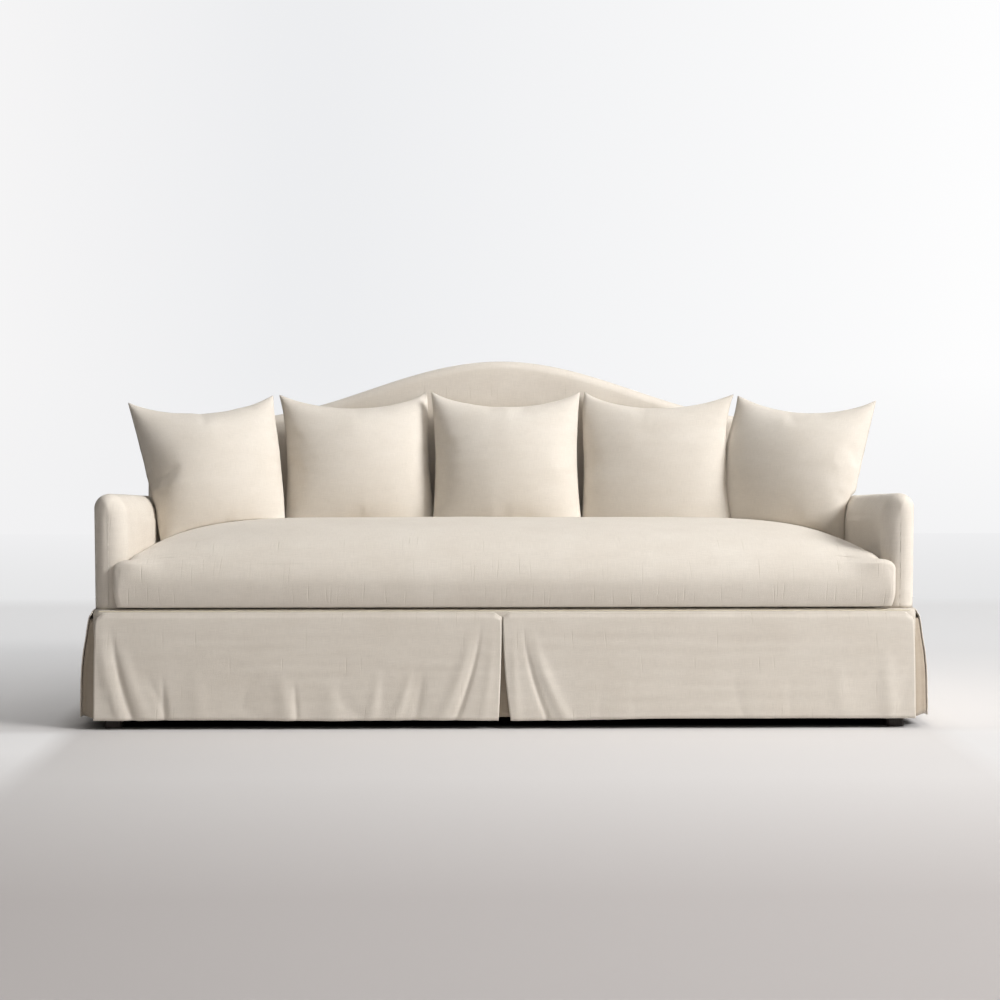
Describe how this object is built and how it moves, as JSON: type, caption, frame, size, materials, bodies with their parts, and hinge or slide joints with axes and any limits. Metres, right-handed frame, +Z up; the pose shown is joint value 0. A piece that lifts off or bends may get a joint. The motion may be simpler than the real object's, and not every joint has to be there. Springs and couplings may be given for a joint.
{
  "type": "camelback sofa",
  "caption": "Upholstered camelback sofa with straight padded arms, a loose bench seat cushion with small ears, loose square back pillows and a floor-length skirt with kick pleats.",
  "frame": {"origin": "on the floor, under the middle of the whole object", "axes": "+X towards the right arm as seen from the front, +Z up, the front faces -Y"},
  "size_m": [2.2254, 0.965, 0.966],
  "materials": {
    "linen": "matt woven",
    "pillow_linen": "matt woven",
    "pleat_lining": "matt woven",
    "deck_cloth": "matt woven",
    "hardwood": "sawn, unfinished",
    "dark_wood": "stained",
    "spring_steel": "drawn wire",
    "burlap": "coarse jute",
    "padding": "foam and wadding",
    "dust_cloth": "thin non-woven"
  },
  "bodies": {
    "frame": {"front_seat_rail": "hardwood", "back_seat_rail": "hardwood", "left_seat_rail": "hardwood", "right_seat_rail": "hardwood", "seat_stretcher_left": "hardwood", "seat_stretcher_right": "hardwood", "corner_block_front_left": "hardwood", "corner_block_front_right": "hardwood", "corner_block_back_left": "hardwood", "corner_block_back_right": "hardwood", "arm_post_left": "hardwood", "arm_post_right": "hardwood", "arm_top_rail_left": "hardwood", "arm_top_rail_right": "hardwood", "arm_stay_rail_left": "hardwood", "arm_stay_rail_right": "hardwood", "back_post_left": "hardwood", "back_post_right": "hardwood", "back_upright_left": "hardwood", "back_upright_right": "hardwood", "crest_rail": "hardwood", "back_stay_rail": "hardwood", "foot_front_left": "dark_wood", "foot_front_right": "dark_wood", "foot_middle_left": "dark_wood", "foot_middle_right": "dark_wood", "foot_back_left": "dark_wood", "foot_back_right": "dark_wood", "seat_spring_1": "spring_steel", "seat_spring_2": "spring_steel", "seat_spring_3": "spring_steel", "seat_spring_4": "spring_steel", "seat_spring_5": "spring_steel", "seat_spring_6": "spring_steel", "seat_spring_7": "spring_steel", "seat_spring_8": "spring_steel", "arm_cover_left": "linen", "arm_cover_right": "linen", "back_cover": "linen", "skirt_front_left": "linen", "skirt_front_right": "linen", "skirt_left": "linen", "skirt_right": "linen", "skirt_back": "linen", "pleat_underlay_middle": "pleat_lining", "pleat_underlay_left": "pleat_lining", "pleat_underlay_right": "pleat_lining", "arm_pad_left": "padding", "arm_pad_right": "padding", "back_pad": "padding", "deck_pad": "padding", "spring_burlap": "burlap", "deck_cloth": "deck_cloth", "dust_cover": "dust_cloth"},
    "cushion": {"seat_cushion": "linen"},
    "pillow_far_left": {"pillow_far_left": "pillow_linen"},
    "pillow_left": {"pillow_left": "pillow_linen"},
    "pillow_middle": {"pillow_middle": "pillow_linen"},
    "pillow_right": {"pillow_right": "pillow_linen"},
    "pillow_far_right": {"pillow_far_right": "pillow_linen"}
  },
  "joints": [
    {"name": "cushion_lift", "type": "slide", "parent": "frame", "child": "cushion", "axis": [0, 0, 1], "range_m": [0, 0.68]},
    {"name": "far_left_lift", "type": "slide", "parent": "cushion", "child": "pillow_far_left", "axis": [0, 0, 1], "range_m": [0, 0.54]},
    {"name": "left_lift", "type": "slide", "parent": "cushion", "child": "pillow_left", "axis": [0, 0, 1], "range_m": [0, 0.54]},
    {"name": "middle_lift", "type": "slide", "parent": "cushion", "child": "pillow_middle", "axis": [0, 0, 1], "range_m": [0, 0.54]},
    {"name": "right_lift", "type": "slide", "parent": "cushion", "child": "pillow_right", "axis": [0, 0, 1], "range_m": [0, 0.54]},
    {"name": "far_right_lift", "type": "slide", "parent": "cushion", "child": "pillow_far_right", "axis": [0, 0, 1], "range_m": [0, 0.54]}
  ]
}
